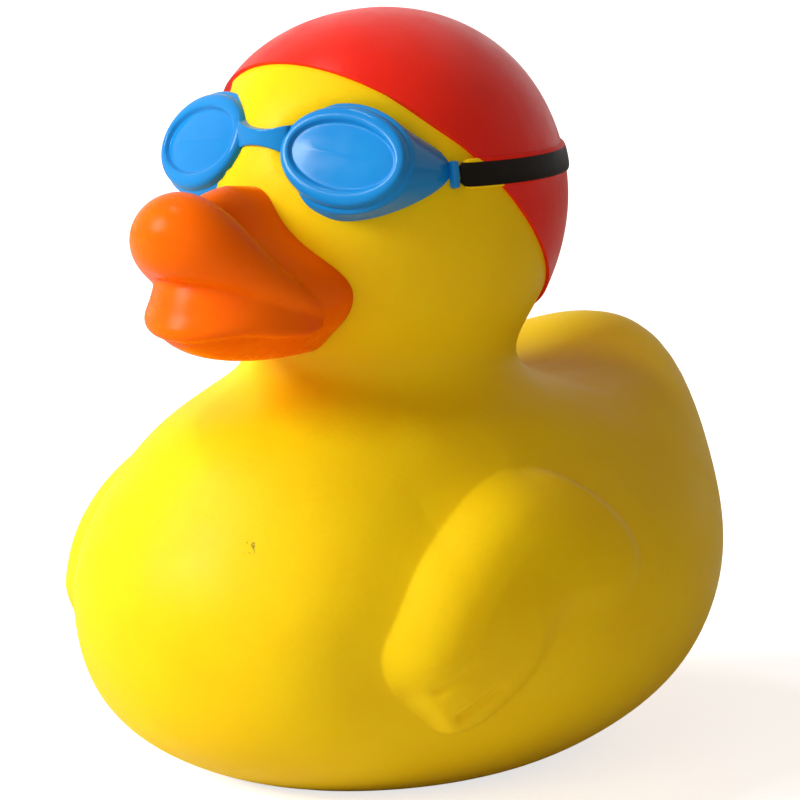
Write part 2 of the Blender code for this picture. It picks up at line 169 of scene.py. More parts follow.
def skin(along, turn):
    """The skin's points for these shares of the way up and these turns from the front."""
    top = ring_at[-1]
    loop = np.append(ring_at, 2 * top - ring_at[-2:0:-1])
    here = along * top
    lines = {}
    for axis in (0, 1):
        both = np.append(front_line[:, axis], back_line[-2:0:-1, axis])
        lines["front", axis] = loop_spline(loop, both, 2 * top, here)
        lines["back", axis] = loop_spline(loop, both, 2 * top, 2 * top - here)
    wide = loop_spline(loop, np.append(side_line[:, 0], -side_line[-2:0:-1, 0]), 2 * top, here)
    level = loop_spline(loop, np.append(side_line[:, 1], side_line[-2:0:-1, 1]), 2 * top, here)
    cos = np.cos(turn)
    middle = (lines["front", 0] + lines["back", 0]) / 2
    half = np.where(cos > 0, lines["front", 0] - middle, middle - lines["back", 0])
    lift = np.where(cos > 0, lines["front", 1] - level, lines["back", 1] - level)
    z = level + lift * np.abs(cos) ** np.where(cos > 0, LIFT_TO_FRONT, LIFT_TO_BACK)
    return np.stack([wide * np.sin(turn), middle + half * cos, np.maximum(z, 0)], axis=-1)


crown = skin(np.array([1.0]), np.array([0.0]))[0]
print("crown at", [round(1000 * value, 1) for value in crown], "mm")

# %% [markdown]
# ## Making a form from a sphere
# Every rounded form here starts as a UV sphere. Its poles become the two ends of the form and its rings
# the rings of the form, so the mesh is closed from the first step and its faces run with the shape.

# %% Helpers for forms
def turned(points):
    """The place of each point of a sphere as a height from 0 to 1 and a turn from the front."""
    unit = points / np.linalg.norm(points, axis=1)[:, None]
    along = 1 - np.arccos(np.clip(unit[:, 2], -1, 1)) / math.pi
    return along, np.arctan2(unit[:, 0], -unit[:, 1])


def points_of(bm):
    return np.array([vertex.co for vertex in bm.verts], float)


def move_to(bm, points):
    """Gives each point its new place and turns the faces outwards."""
    for vertex, point in zip(bm.verts, points):
        vertex.co = point
    bmesh.ops.recalc_face_normals(bm, faces=bm.faces)
    bm.normal_update()


def ball(segments, ring_count, place):
    """A sphere whose points are moved by the function place."""
    bm = bmesh.new()
    bmesh.ops.create_uvsphere(bm, u_segments=segments, v_segments=ring_count, radius=1)
    move_to(bm, place(points_of(bm)))
    return bm


def push(bm, distance):
    """Moves every point out along its own normal, by one distance or by one for each point."""
    normals = np.array([vertex.normal for vertex in bm.verts])
    move_to(bm, points_of(bm) + normals * np.broadcast_to(distance, (len(bm.verts),))[:, None])


def add_form(whole, form):
    """Adds one form to another bmesh and frees it."""
    loose = bpy.data.meshes.new("loose")
    form.to_mesh(loose)
    form.free()
    whole.from_mesh(loose)
    bpy.data.meshes.remove(loose)


print("form helpers are ready")

# %% [markdown]
# ## From a form to a finished piece
# A finished piece is an object at the origin, unturned and unscaled, with its place in its mesh, because
# the export puts every object there. Each piece of the duck rides on the one body and stands for the
# one moulding of the CAD part.

# %% A finished piece
def piece(name, bm, material, soften=0):
    """One finished object: smooth faces, its place in its mesh, and its tie to the CAD part."""
    bmesh.ops.translate(bm, verts=bm.verts, vec=(0, -HEAD_AHEAD, 0))
    mesh = bpy.data.meshes.new(name)
    bm.to_mesh(mesh)
    bm.free()
    mesh.shade_smooth()
    mesh.materials.append(material)
    made = bpy.data.objects.new(name, mesh)
    bpy.context.scene.collection.objects.link(made)
    if soften:
        smooth = made.modifiers.new("Smooth", "SUBSURF")
        smooth.levels = soften
        smooth.render_levels = soften
    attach(made, "root")
    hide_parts("duck_body")
    print(name, "has", len(mesh.polygons), "faces before smoothing")


print("pieces will be smooth, and tied to the one moulding")

# %% [markdown]
# ## Nodes for finishes
# A material is a tree of nodes. These helpers each add one kind of node and hand back its output, so a
# finish can be written as one thing feeding the next. Patterns read Object coordinates, which stay put
# on the piece.

# %% Helpers for nodes
def wire(tree, source, target):
    tree.links.new(source, target)


def new_node(tree, kind, **values):
    node = tree.nodes.new(kind)
    for key, value in values.items():
        setattr(node, key, value)
    return node


def noise(tree, place, scale, detail=3.0, rough=0.55):
    node = new_node(tree, "ShaderNodeTexNoise")
    node.inputs["Scale"].default_value = scale
    node.inputs["Detail"].default_value = detail
    node.inputs["Roughness"].default_value = rough
    wire(tree, place, node.inputs["Vector"])
    return node.outputs["Fac"]


def blend(tree, amount, first, second):
    """A colour mix. Each side is a colour or another node's output."""
    node = new_node(tree, "ShaderNodeMix", data_type="RGBA")
    wire(tree, amount, node.inputs["Factor"])
    for name, value in (("A", first), ("B", second)):
        socket = next(s for s in node.inputs if s.name == name and s.type == "RGBA")
        if isinstance(value, tuple):
            socket.default_value = (*value, 1)
        else:
            wire(tree, value, socket)
    return next(s for s in node.outputs if s.type == "RGBA")


def between(tree, value, low, high, to_low=0.0, to_high=1.0):
    """Stretches a value from one range to another and holds it inside."""
    node = new_node(tree, "ShaderNodeMapRange", clamp=True)
    wire(tree, value, node.inputs["Value"])
    for name, number in (("From Min", low), ("From Max", high), ("To Min", to_low), ("To Max", to_high)):
        node.inputs[name].default_value = number
    return node.outputs["Result"]


def reckon(tree, operation, first, second):
    """One sum on two values. Each is a number or another node's output."""
    node = new_node(tree, "ShaderNodeMath", operation=operation)
    for socket, value in zip(node.inputs, (first, second)):
        if isinstance(value, (int, float)):
            socket.default_value = value
        else:
            wire(tree, value, socket)
    return node.outputs[0]


def bumps(tree, height, strength, distance):
    """A bump node for this pattern of heights."""
    node = new_node(tree, "ShaderNodeBump")
    node.inputs["Strength"].default_value = strength
    node.inputs["Distance"].default_value = distance
    wire(tree, height, node.inputs["Height"])
    return node


def place_on_piece(tree):
    return next(node for node in tree.nodes if node.type == "TEX_COORD").outputs["Object"]


print("node helpers are ready")

# %% [markdown]
# ## Finishes
# The duck's own colour runs through the vinyl, and the other colours are thin paint. Both have a fine
# orange-peel bump from the mould, a little mottling, and a roughness that changes from place to place.
# Light enters soft vinyl and comes out again nearby, redder than it went in, so the material has some
# subsurface scattering. A scale says how many grains of a pattern lie along one metre.

# %% A finish for vinyl or paint
MOTTLE_SCALE = 90
SHEEN_SCALE = 260
PEEL_SCALE = 1400
PEEL_STRENGTH = 0.10
PEEL_HEIGHT = 0.0002
WAVE_SCALE = 170
WAVE_STRENGTH = 0.12
WAVE_HEIGHT = 0.0006
VINYL_IOR = 1.46
BLUE_SCATTER = 0.06


def finish(name, colour, deep, gloss, shine=0.5, grain=1.0, glow=0.0, glow_depth=0.003, glow_reach=0.45):
    """A Principled material: two close shades, a roughness that varies, and a bump as of a mould."""
    material = bpy.data.materials.new(name)
    material.use_nodes = True
    tree = material.node_tree
    shader = tree.nodes["Principled BSDF"]
    place = new_node(tree, "ShaderNodeTexCoord").outputs["Object"]
    shade = blend(tree, between(tree, noise(tree, place, MOTTLE_SCALE), 0.35, 0.7), colour, deep)
    wire(tree, shade, shader.inputs["Base Color"])
    rough = between(tree, noise(tree, place, SHEEN_SCALE, 4), 0.3, 0.7, gloss - 0.05, gloss + 0.06)
    wire(tree, rough, shader.inputs["Roughness"])
    peel = bumps(tree, noise(tree, place, PEEL_SCALE, 2), PEEL_STRENGTH * grain, PEEL_HEIGHT)
    wave = bumps(tree, noise(tree, place, WAVE_SCALE, 2), WAVE_STRENGTH * grain, WAVE_HEIGHT)
    wire(tree, peel.outputs["Normal"], wave.inputs["Normal"])
    wire(tree, wave.outputs["Normal"], shader.inputs["Normal"])
    shader.inputs["IOR"].default_value = VINYL_IOR
    shader.inputs["Specular IOR Level"].default_value = shine
    shader.inputs["Subsurface Weight"].default_value = glow
    shader.inputs["Subsurface Radius"].default_value = (1.0, glow_reach, BLUE_SCATTER)
    shader.inputs["Subsurface Scale"].default_value = glow_depth
    return material


YELLOW = (0.92, 0.64, 0.004)
DEEP_YELLOW = (0.90, 0.59, 0.003)
RED = (0.88, 0.020, 0.006)
DEEP_RED = (0.82, 0.015, 0.005)
BLUE = (0.008, 0.25, 0.64)
DEEP_BLUE = (0.006, 0.21, 0.58)
ORANGE = (0.98, 0.16, 0.001)
DEEP_ORANGE = (0.96, 0.13, 0.001)
yellow_vinyl = finish("yellow_vinyl", YELLOW, DEEP_YELLOW, 0.46, shine=0.10, glow=0.25)
red_paint = finish("red_paint", RED, DEEP_RED, 0.34, shine=0.18, glow=0.12, glow_depth=0.004)
blue_paint = finish("blue_paint", BLUE, DEEP_BLUE, 0.17, shine=0.16, grain=0.3)
orange_paint = finish(
    "orange_paint", ORANGE, DEEP_ORANGE, 0.26, shine=0.06, grain=0.12, glow=0.3, glow_reach=0.2
)
print("finishes:", [material.name for material in bpy.data.materials])

# %% [markdown]
# ## A skin to measure on
# Later cells ask where a ray meets the body. A plain copy of the skin is kept for that as a BVH tree,
# which finds the face that a ray hits without trying them all.

# %% The skin as a target for rays
SKIN_SEGMENTS = 192
SKIN_RINGS = 120

plain = ball(SKIN_SEGMENTS, SKIN_RINGS, lambda points: skin(*turned(points)))
skin_tree = BVHTree.FromBMesh(plain)
print("the plain skin has", len(plain.faces), "faces")
plain.free()

# %% [markdown]
# ## Where the wings are
# Each wing is low relief on the side of the body: a long oval with a broad rounded front edge, a top
# that sinks into the body towards the back, and two shallow grooves that part the feathers at its tip.
# Its outline is drawn from the side, as shares of the length and the height. It is smoothed and dropped
# on the skin, so that distances are measured on the skin.

# %% The wing's outline on the skin
WING_OUTLINE = (
    (-0.021, 0.432),
    (0.027, 0.422),
    (0.066, 0.398),
    (0.094, 0.355),
    (0.095, 0.308),
    (0.070, 0.271),
    (0.020, 0.256),
    (-0.045, 0.254),
    (-0.080, 0.222),
    (-0.106, 0.184),
    (-0.131, 0.150),
    (-0.153, 0.123),
    (-0.176, 0.107),
    (-0.198, 0.106),
    (-0.214, 0.115),
    (-0.228, 0.129),
    (-0.243, 0.141),
    (-0.266, 0.160),
    (-0.288, 0.195),
    (-0.292, 0.228),
    (-0.277, 0.267),
    (-0.239, 0.326),
    (-0.161, 0.389),
    (-0.078, 0.425),
)
WING_FRONT_CORNER = 17
WING_EDGE_POINTS = 500


def skin_from_side(points_yz):
    """Drops points, seen from the left, on the left side of the skin."""
    start = Vector((BODY_WIDTH, 0, 0))
    inwards = Vector((-1, 0, 0))
    return [skin_tree.ray_cast(start + Vector((0, y, z)), inwards)[0] for y, z in points_yz]


def nearest_of(points):
    """A tree that finds the nearest of many points quickly."""
    tree = KDTree(len(points))
    for index, point in enumerate(points):
        tree.insert(point, index)
    tree.balance()
    return tree


corners = np.array(WING_OUTLINE) * (BODY_LENGTH, HEIGHT)
corner_at = np.append(0, np.cumsum(np.hypot(*np.diff(corners, axis=0).T)))
around = corner_at[-1] + math.hypot(*(corners[0] - corners[-1]))
wing_at = np.linspace(0, around, WING_EDGE_POINTS, endpoint=False)
wing_edge = np.stack([loop_spline(corner_at, corners[:, axis], around, wing_at) for axis in (0, 1)], axis=-1)
edge_points = skin_from_side(wing_edge)
front_from = int(np.searchsorted(wing_at, corner_at[WING_FRONT_CORNER]))
whole_edge = nearest_of(edge_points)
front_edge = nearest_of(edge_points[front_from:])
rest_edge = nearest_of(edge_points[:front_from])
print("the wing's edge runs", round(1000 * around), "mm")

# %% [markdown]
# ## Inside the outline
# Two measures are needed for every point of the skin near a wing: whether it lies inside the outline,
# and how deep the grooves are there. A groove is a line, given by its deep end, its shallow end and its
# depth. It is deepest at the tip of the wing and fades along the line and to its sides.

# %% Inside test and grooves
GROOVES = (
    ((-0.0173, 0.0148), (-0.0143, 0.0176), 0.00030),
    ((-0.0147, 0.0119), (-0.0114, 0.0151), 0.00060),
)
GROOVE_WIDTH = 0.0005


def inside(points, edge):
    """Which points a closed outline holds: a line from an inner point crosses it an odd number of times."""
    y, z = points[:, 0][:, None], points[:, 1][:, None]
    y0, z0 = edge.T
    y1, z1 = np.roll(edge, -1, axis=0).T
    crosses = (z0 > z) != (z1 > z)
    at = y0 + (z - z0) * (y1 - y0) / np.where(z1 == z0, 1e-12, z1 - z0)
    return (crosses & (y < at)).sum(axis=1) % 2 == 1


def groove_depth(y, z):
    depth = np.zeros(len(y))
    for (y0, z0), (y1, z1), deepest in GROOVES:
        run = np.array((y1 - y0, z1 - z0))
        part = np.clip(((y - y0) * run[0] + (z - z0) * run[1]) / (run @ run), 0, 1)
        away = np.hypot(y - y0 - part * run[0], z - z0 - part * run[1])
        depth = np.maximum(depth, deepest * np.exp(-((away / GROOVE_WIDTH) ** 2)) * (1 - part) ** 0.5)
    return depth


print("deepest groove", round(1000 * max(groove[2] for groove in GROOVES), 2), "mm")

# %% [markdown]
# ## How high the wing stands
# A point inside the outline rises with its distance from the edge, like a quarter of a wave, until the
# top is reached. The front edge is broad and high, and the other edges are narrow. The top sinks
# towards the back, and the lower back edge sinks softly into the body. Along the front edge the body
# itself is a little hollow, as the mould is there.

# %% Relief of a wing
WING_RISE = 0.0018
WING_INNER = 0.008
WING_FRONT_END = -0.025
WING_BACK_END = 0.010
WING_TOP = 0.038
RISE_FROM = 0.006
RISE_RUN = 0.024
FRONT_SLOPE = 0.0068
PLAIN_SLOPE = 0.0017
FORWARD_SLOPE = 0.0010
SOFT_SLOPE = 0.0025
SOFT_BELOW = 0.026
SOFT_BEHIND = -0.008
SOFT_RUN = 0.006
WING_HOLLOW = 0.0009
HOLLOW_BEHIND = -0.002
HOLLOW_RUN = 0.012
HOLLOW_TOP = 0.045
HOLLOW_WIDTH = 0.0060


def away_from(edge, points):
    return np.array([edge.find(Vector(point))[2] for point in points])


def quarter_wave(share):
    return np.sin(math.pi / 2 * np.clip(share, 0, 1))


def wing_relief(points):
    """How far each point of the skin rises, the same on both sides of the body."""
    left = points.copy()
    left[:, 0] = np.abs(left[:, 0])
    rise = np.zeros(len(points))
    beside = left[:, 0] > WING_INNER
    level = (left[:, 1] > WING_FRONT_END) & (left[:, 1] < WING_BACK_END) & (left[:, 2] < WING_TOP)
    rows = np.flatnonzero(beside & level)
    rows = rows[inside(left[rows][:, 1:], wing_edge)]
    y, z = left[rows, 1], left[rows, 2]
    front = np.clip((RISE_FROM - y) / RISE_RUN, 0, 1)
    soft_side = np.clip((SOFT_BELOW - z) / SOFT_RUN, 0, 1) * np.clip((y - SOFT_BEHIND) / SOFT_RUN, 0, 1)
    top = WING_RISE * (0.30 + 0.70 * front**0.7) * (1 - 0.75 * soft_side)
    broad = PLAIN_SLOPE + FORWARD_SLOPE * front + SOFT_SLOPE * soft_side
    over_front = quarter_wave(away_from(front_edge, left[rows]) / FRONT_SLOPE)
    over_rest = quarter_wave(away_from(rest_edge, left[rows]) / broad)
    rise[rows] = top * over_front * over_rest - groove_depth(y, z)
    rows = np.flatnonzero(beside & (left[:, 1] < HOLLOW_BEHIND) & (left[:, 2] < HOLLOW_TOP))
    ahead = np.clip((HOLLOW_BEHIND - left[rows, 1]) / HOLLOW_RUN, 0, 1)
    rise[rows] -= WING_HOLLOW * ahead * np.exp(-((away_from(whole_edge, left[rows]) / HOLLOW_WIDTH) ** 2))
    return rise


print("highest wing point rises", round(1000 * wing_relief(np.array([[0.03, -0.018, 0.02]]))[0], 2), "mm")

# %% [markdown]
# ## The yellow skin
# The sphere's faces are about a millimetre wide, which is fine for the round body but too coarse for the
# edge of a wing. Only the faces near the wings are subdivided, before the sphere takes the duck's shape,
# so the new points lie on the true skin and not on flat faces. Behind each lens the skin is sunk a
# little, out of sight, so that it can't show through the lens, which is sunk too.

# %% Skin with its wings
FINE_FROM = (-0.0275, 0.0068)
FINE_TO = (0.0100, 0.0372)
FINE_CUTS = 4
EYE_MIDDLE = (0.0095, 0.0684)
EYE_HALF = (0.0078, 0.0048)
EYE_DEPTH = 0.0012


def fine_near_wings(bm):
    middles = skin(*turned(np.array([face.calc_center_median() for face in bm.faces], float)))
    chosen = set()
    for face, (x, y, z) in zip(bm.faces, middles):
        if abs(x) > WING_INNER and FINE_FROM[0] < y < FINE_TO[0] and FINE_FROM[1] < z < FINE_TO[1]:
            chosen.update(face.edges)
    in_order = [edge for edge in bm.edges if edge in chosen]
    bmesh.ops.subdivide_edges(bm, edges=in_order, cuts=FINE_CUTS, use_grid_fill=True)


def under_goggles(points):
    """How far the skin sinks behind each lens."""
    x, y, z = np.abs(points[:, 0]), points[:, 1], points[:, 2]
    away = np.hypot((x - EYE_MIDDLE[0]) / EYE_HALF[0], (z - EYE_MIDDLE[1]) / EYE_HALF[1])
    return EYE_DEPTH * np.clip((1.0 - away) * 3, 0, 1) * (y < 0)


def duck_skin_form():
    bm = bmesh.new()
    bmesh.ops.create_uvsphere(bm, u_segments=SKIN_SEGMENTS, v_segments=SKIN_RINGS, radius=1)
    fine_near_wings(bm)
    points = skin(*turned(points_of(bm)))
    move_to(bm, points)
    push(bm, wing_relief(points) - under_goggles(points))
    return bm


piece("duck_skin", duck_skin_form(), yellow_vinyl)

# %% [markdown]
# ## Scuffs
# The breast has two or three tiny dark scuffs. A distance from one spot keeps them together, and a fine
# noise breaks them into specks. The photo gives the spot as a place in the picture, to the left of the
# middle and below it, so a ray from the camera finds it on the skin.

# %% Scuffs on the breast
SCUFF_SIZE = 0.0011
SCUFF_COLOUR = (0.34, 0.26, 0.02)
SCUFF_RIGHT = -0.0163
SCUFF_UP = -0.0160
SPECK_SCALE = 1800


def add_scuffs(material, spot):
    tree = material.node_tree
    shader = tree.nodes["Principled BSDF"]
    place = place_on_piece(tree)
    away = new_node(tree, "ShaderNodeVectorMath", operation="DISTANCE")
    wire(tree, place, away.inputs[0])
    away.inputs[1].default_value = spot
    near = between(tree, away.outputs["Value"], SCUFF_SIZE * 0.4, SCUFF_SIZE, 1, 0)
    specks = between(tree, noise(tree, place, SPECK_SCALE, 2), 0.55, 0.62)
    clean = shader.inputs["Base Color"].links[0].from_socket
    scuffed = blend(tree, reckon(tree, "MULTIPLY", near, specks), clean, SCUFF_COLOUR)
    wire(tree, scuffed, shader.inputs["Base Color"])


looking = camera_right * SCUFF_RIGHT + camera_up * SCUFF_UP - camera_back * CAMERA_DISTANCE
to_neck_axis = Vector((0, HEAD_AHEAD, 0))
camera_spot = camera.matrix_world.translation + to_neck_axis
scuff_spot = skin_tree.ray_cast(camera_spot, looking.normalized())[0] - to_neck_axis
add_scuffs(yellow_vinyl, scuff_spot)
print("scuffs at", [round(1000 * value, 1) for value in scuff_spot], "mm")

# %% [markdown]
# ## The head alone
# The cap, the strap and the goggles all lie on the head. A second sphere is stretched over the head
# only, from the waist of the neck up, so that these thin pieces get small faces.

# %% Head form
def head_form(segments, ring_count, offset):
    first = 1 / ring_count

    def place(points):
        along, turn = turned(points)
        rise = np.clip((along - first) / (1 - first), 0, 1)
        moved = skin(waist_at + (1 - waist_at) * rise, turn)
        moved[along < first / 2] = skin(np.full(2, waist_at), np.array([0, math.pi])).mean(axis=0)
        return moved

    bm = ball(segments, ring_count, place)
    push(bm, offset)
    return bm


head = head_form(160, 110, 0)
head_tree = BVHTree.FromBMesh(head)
print("head form:", len(head.faces), "faces")
head.free()

# %% [markdown]
# ## The swim cap
# The cap is a thin raised layer with one straight rim that slants from the forehead down to the nape.
# A plane cuts it from the head form, and a small bevel rounds the cut, because the mould has a radius
# there and the paint shows a fine line of light along it.

# %% Cap
CAP_RISE = 0.0004
CAP_PLANE_HEIGHT = 0.0643
CAP_TILT = math.radians(46.5)
CAP_RIM_RADIUS = 0.00028
RIM_ANGLE = 0.9


def keep_behind(bm, point, normal):
    """Cuts the form on a plane, keeps the side that the normal points away from, and closes the cut."""
    geometry = bm.verts[:] + bm.edges[:] + bm.faces[:]
    bmesh.ops.bisect_plane(bm, geom=geometry, plane_co=point, plane_no=normal, clear_outer=True, dist=1e-7)
    bmesh.ops.holes_fill(bm, edges=[edge for edge in bm.edges if edge.is_boundary])
    bmesh.ops.recalc_face_normals(bm, faces=bm.faces)
    bm.normal_update()


def cap_form():
    bm = head_form(256, 150, CAP_RISE)
    normal = Vector((0, -math.sin(CAP_TILT), -math.cos(CAP_TILT)))
    keep_behind(bm, (0, 0, CAP_PLANE_HEIGHT), normal)
    rim = [edge for edge in bm.edges if len(edge.link_faces) == 2 and edge.calc_face_angle(0) > RIM_ANGLE]
    bmesh.ops.bevel(
        bm,
        geom=rim,
        affect="EDGES",
        offset=CAP_RIM_RADIUS,
        segments=4,
        profile=0.5,
        material=-1,
        clamp_overlap=True,
    )
    bm.normal_update()
    return bm


piece("swim_cap", cap_form(), red_paint)

# %% [markdown]
# ## Following the head at one height
# The strap runs level round the head. For a turn from the front, one helper finds the skin at given
# heights, and another the direction that points straight out of it.

# %% A level line on the head
LEVEL_SAMPLES = 300
NEAR_CROWN = 0.079


def level_on_head(turn, levels):
    """The skin at these heights, for one turn from the front."""
    run = np.linspace(waist_at, 1, LEVEL_SAMPLES)
    points = skin(run, np.full(LEVEL_SAMPLES, turn))
    top = int(np.argmax(points[:, 2] > NEAR_CROWN))
    points = points[: top or LEVEL_SAMPLES]
    rising = points[np.argsort(points[:, 2])]
    return np.stack([np.interp(levels, rising[:, 2], rising[:, axis]) for axis in range(3)], axis=-1)


def out_of_head(turn, height):
    """The direction straight out of the head, square to a step round it and a step up it."""
    step = 0.01
    before, after = (level_on_head(turn + way, np.array([height]))[0] for way in (-step, step))
    low, high = level_on_head(turn, np.array([height - 0.0005, height + 0.0005]))
    out = np.cross(after - before, high - low)
    return out / np.linalg.norm(out)


print("straight out at the temple:", np.round(out_of_head(math.radians(66), STRAP_HEIGHT), 2))

# %% [markdown]
# ## The strap's paint
# The strap is a raised bead in the mould, and its black paint covers only the flat outer face, so the
# bead's rounded edges keep the colour of what it crosses: yellow in front of the cap, red on it. The
# colours are masks on height, on the cap's cutting plane and on the place where the black begins.

# %% Strap paint
STRAP_FRONT = math.radians(67.5)
BLACK_AFTER = 0.0001
PAINT_EDGE = 0.00004
CAP_EDGE = 0.00005
STRAP_BLACK = (0.008, 0.006, 0.004)
WORN_BLACK = (0.011, 0.008, 0.005)
EDGE_YELLOW = (0.95, 0.66, 0.006)
EDGE_RED = (0.86, 0.020, 0.006)

strap_begins = level_on_head(STRAP_FRONT, np.array([STRAP_HEIGHT]))[0]
black_from = strap_begins[1] + BLACK_AFTER - HEAD_AHEAD


def strap_finish():
    material = finish("strap_paint", STRAP_BLACK, WORN_BLACK, 0.42, shine=0.06)
    tree = material.node_tree
    shader = tree.nodes["Principled BSDF"]
    split = new_node(tree, "ShaderNodeSeparateXYZ")
    wire(tree, place_on_piece(tree), split.inputs[0])
    y, z = split.outputs["Y"], split.outputs["Z"]
    off_centre = reckon(tree, "ABSOLUTE", reckon(tree, "SUBTRACT", z, STRAP_HEIGHT), 0)
    painted = between(tree, off_centre, STRAP_TALL / 2 - PAINT_EDGE, STRAP_TALL / 2 + PAINT_EDGE, 1, 0)
    ahead = reckon(tree, "MULTIPLY", reckon(tree, "ADD", y, HEAD_AHEAD), math.sin(CAP_TILT))
    above = reckon(tree, "MULTIPLY", reckon(tree, "SUBTRACT", z, CAP_PLANE_HEIGHT), math.cos(CAP_TILT))
    on_cap = between(tree, reckon(tree, "ADD", ahead, above), -CAP_EDGE, CAP_EDGE)
    base = blend(tree, on_cap, EDGE_YELLOW, EDGE_RED)
    begun = between(tree, y, black_from - PAINT_EDGE, black_from + PAINT_EDGE)
    black = shader.inputs["Base Color"].links[0].from_socket
    coloured = blend(tree, reckon(tree, "MULTIPLY", painted, begun), base, black)
    wire(tree, coloured, shader.inputs["Base Color"])
    return material


strap_paint = strap_finish()
print("black begins at y", round(1000 * black_from, 1), "mm")

# %% [markdown]
# ## The strap
# The bead is one small round profile. A half turn round an axis spins it into a bar with a column of
# points for each step, and each column is then laid on the head at its own turn. Raising the profile's
# two directions to a power below one pushes it out into its corners, which gives the flat outer face.

# %% Strap
STRAP_RISE = 0.0008
BEAD_TALL = 0.0031
BEAD_SQUARE = 0.45
SPIN_RADIUS = 2


def strap_form(steps=180, profile_points=28):
    bm = bmesh.new()
    ring = bmesh.ops.create_circle(bm, segments=profile_points, radius=1, cap_ends=False)["verts"]
    bmesh.ops.rotate(bm, verts=ring, cent=(0, 0, 0), matrix=Matrix.Rotation(math.pi / 2, 3, "X"))
    bmesh.ops.translate(bm, verts=ring, vec=(SPIN_RADIUS, 0, 0))
    profile = bm.verts[:] + bm.edges[:]
    bmesh.ops.spin(
        bm, geom=profile, cent=(0, 0, 0), axis=(0, 0, 1), angle=math.pi, steps=steps, use_merge=False
    )
    bmesh.ops.holes_fill(bm, edges=[edge for edge in bm.edges if edge.is_boundary])
    points = points_of(bm)
    part = np.arctan2(points[:, 1], points[:, 0]) / math.pi
    out = np.hypot(points[:, 0], points[:, 1]) - SPIN_RADIUS
    up = points[:, 2]
    out, up = (np.sign(v) * np.abs(v) ** BEAD_SQUARE for v in (out, up))
    columns = np.rint(part * steps).astype(int)
    moved = np.empty_like(points)
    for column in np.unique(columns):
        rows = np.flatnonzero(columns == column)
        turn = STRAP_FRONT + column / steps * 2 * (math.pi - STRAP_FRONT)
        end = min(column, steps - column) / 2
        close = math.sin(math.pi / 2 * min(0.15 + end * 0.45, 1))
        level = STRAP_HEIGHT + up[rows] * BEAD_TALL / 2 * close
        spots = level_on_head(turn, level)
        rise = STRAP_RISE * close * out[rows]
        moved[rows] = spots + np.outer(rise, out_of_head(turn, STRAP_HEIGHT))
    move_to(bm, moved)
    return bm


piece("goggle_strap", strap_form(), strap_paint, soften=1)

# %% [markdown]
# ## The bill
# The bill is moulded with the head and painted orange. It has a thick base, widest at the corners of
# the mouth, and two lips bent round from one corner to the other. The base is a stack of level rings.
# Each row gives a ring's height, its half width, and how far ahead and behind it reaches, as shares of
# the bill's height, width and reach.

# %% Base of the bill
BILL_WIDTH = 0.0208
BILL_TALL = 0.0194
BILL_REACH = 0.0317
BILL_STATIONS = (
    (0.024, 0.000, 0.520, 0.520),
    (0.050, 0.190, 0.710, 0.252),
    (0.138, 0.320, 0.845, 0.221),
    (0.255, 0.440, 0.865, 0.189),
    (0.423, 0.495, 0.770, 0.189),
    (0.644, 0.320, 0.767, 0.252),
    (0.815, 0.175, 0.780, 0.315),
    (0.925, 0.100, 0.770, 0.410),
    (0.975, 0.000, 0.647, 0.647),
)
BASE_SQUARE = 0.85


def bill_base_form(segments, ring_count):
    table = np.array(BILL_STATIONS)
    at = np.append(0, np.cumsum(np.hypot(np.diff(table[:, 0]), np.diff(table[:, 1]))))
    top = at[-1]
    loop = np.append(at, 2 * top - at[-2:0:-1])

    def line(column, sign, here):
        values = table[:, column]
        return loop_spline(loop, np.append(values, sign * values[-2:0:-1]), 2 * top, here)

    def place(points):
        along, turn = turned(points)
        here = along * top
        cos = np.cos(turn)
        sin = np.sin(turn)
        ahead, behind = line(2, 1, here), line(3, 1, here)
        x = line(1, -1, here) * np.sign(sin) * np.abs(sin) ** BASE_SQUARE
        y = -(ahead + behind) / 2 - (ahead - behind) / 2 * np.sign(cos) * np.abs(cos) ** BASE_SQUARE
        return np.stack([x * BILL_WIDTH, y * BILL_REACH, CHIN + line(0, 1, here) * BILL_TALL], axis=-1)

    return ball(segments, ring_count, place)


bill_base = bill_base_form(96, 64)
print("base of the bill:", len(bill_base.faces), "faces")

# %% [markdown]
# ## The lips
# Each lip is a roll that follows a curve from the left corner of the mouth to the right one. A row gives
# a point of the left half: how far aside, ahead and up it lies, and how thick the roll is there. The
# upper lip is nearly round. The lower lip is squarer and leans out at the bottom: a flat face runs down
# from the mouth to a firm rim, and below the rim it turns back under the chin.

# %% Lips
UPPER_LIP = (
    (0.447, 0.505, 0.310, 0.046),
    (0.395, 0.650, 0.450, 0.098),
    (0.275, 0.757, 0.585, 0.155),
    (0.000, 0.852, 0.732, 0.242),
)
LOWER_LIP = (
    (0.447, 0.505, 0.262, 0.046),
    (0.420, 0.620, 0.285, 0.085),
    (0.298, 0.730, 0.345, 0.120),
    (0.000, 0.832, 0.325, 0.145),
)
LIP_STEP = 0.005
LIP_END_POWER = 8
LIP_INNER_SHARE = 0.6
LEAN_MIDDLE = 0.4


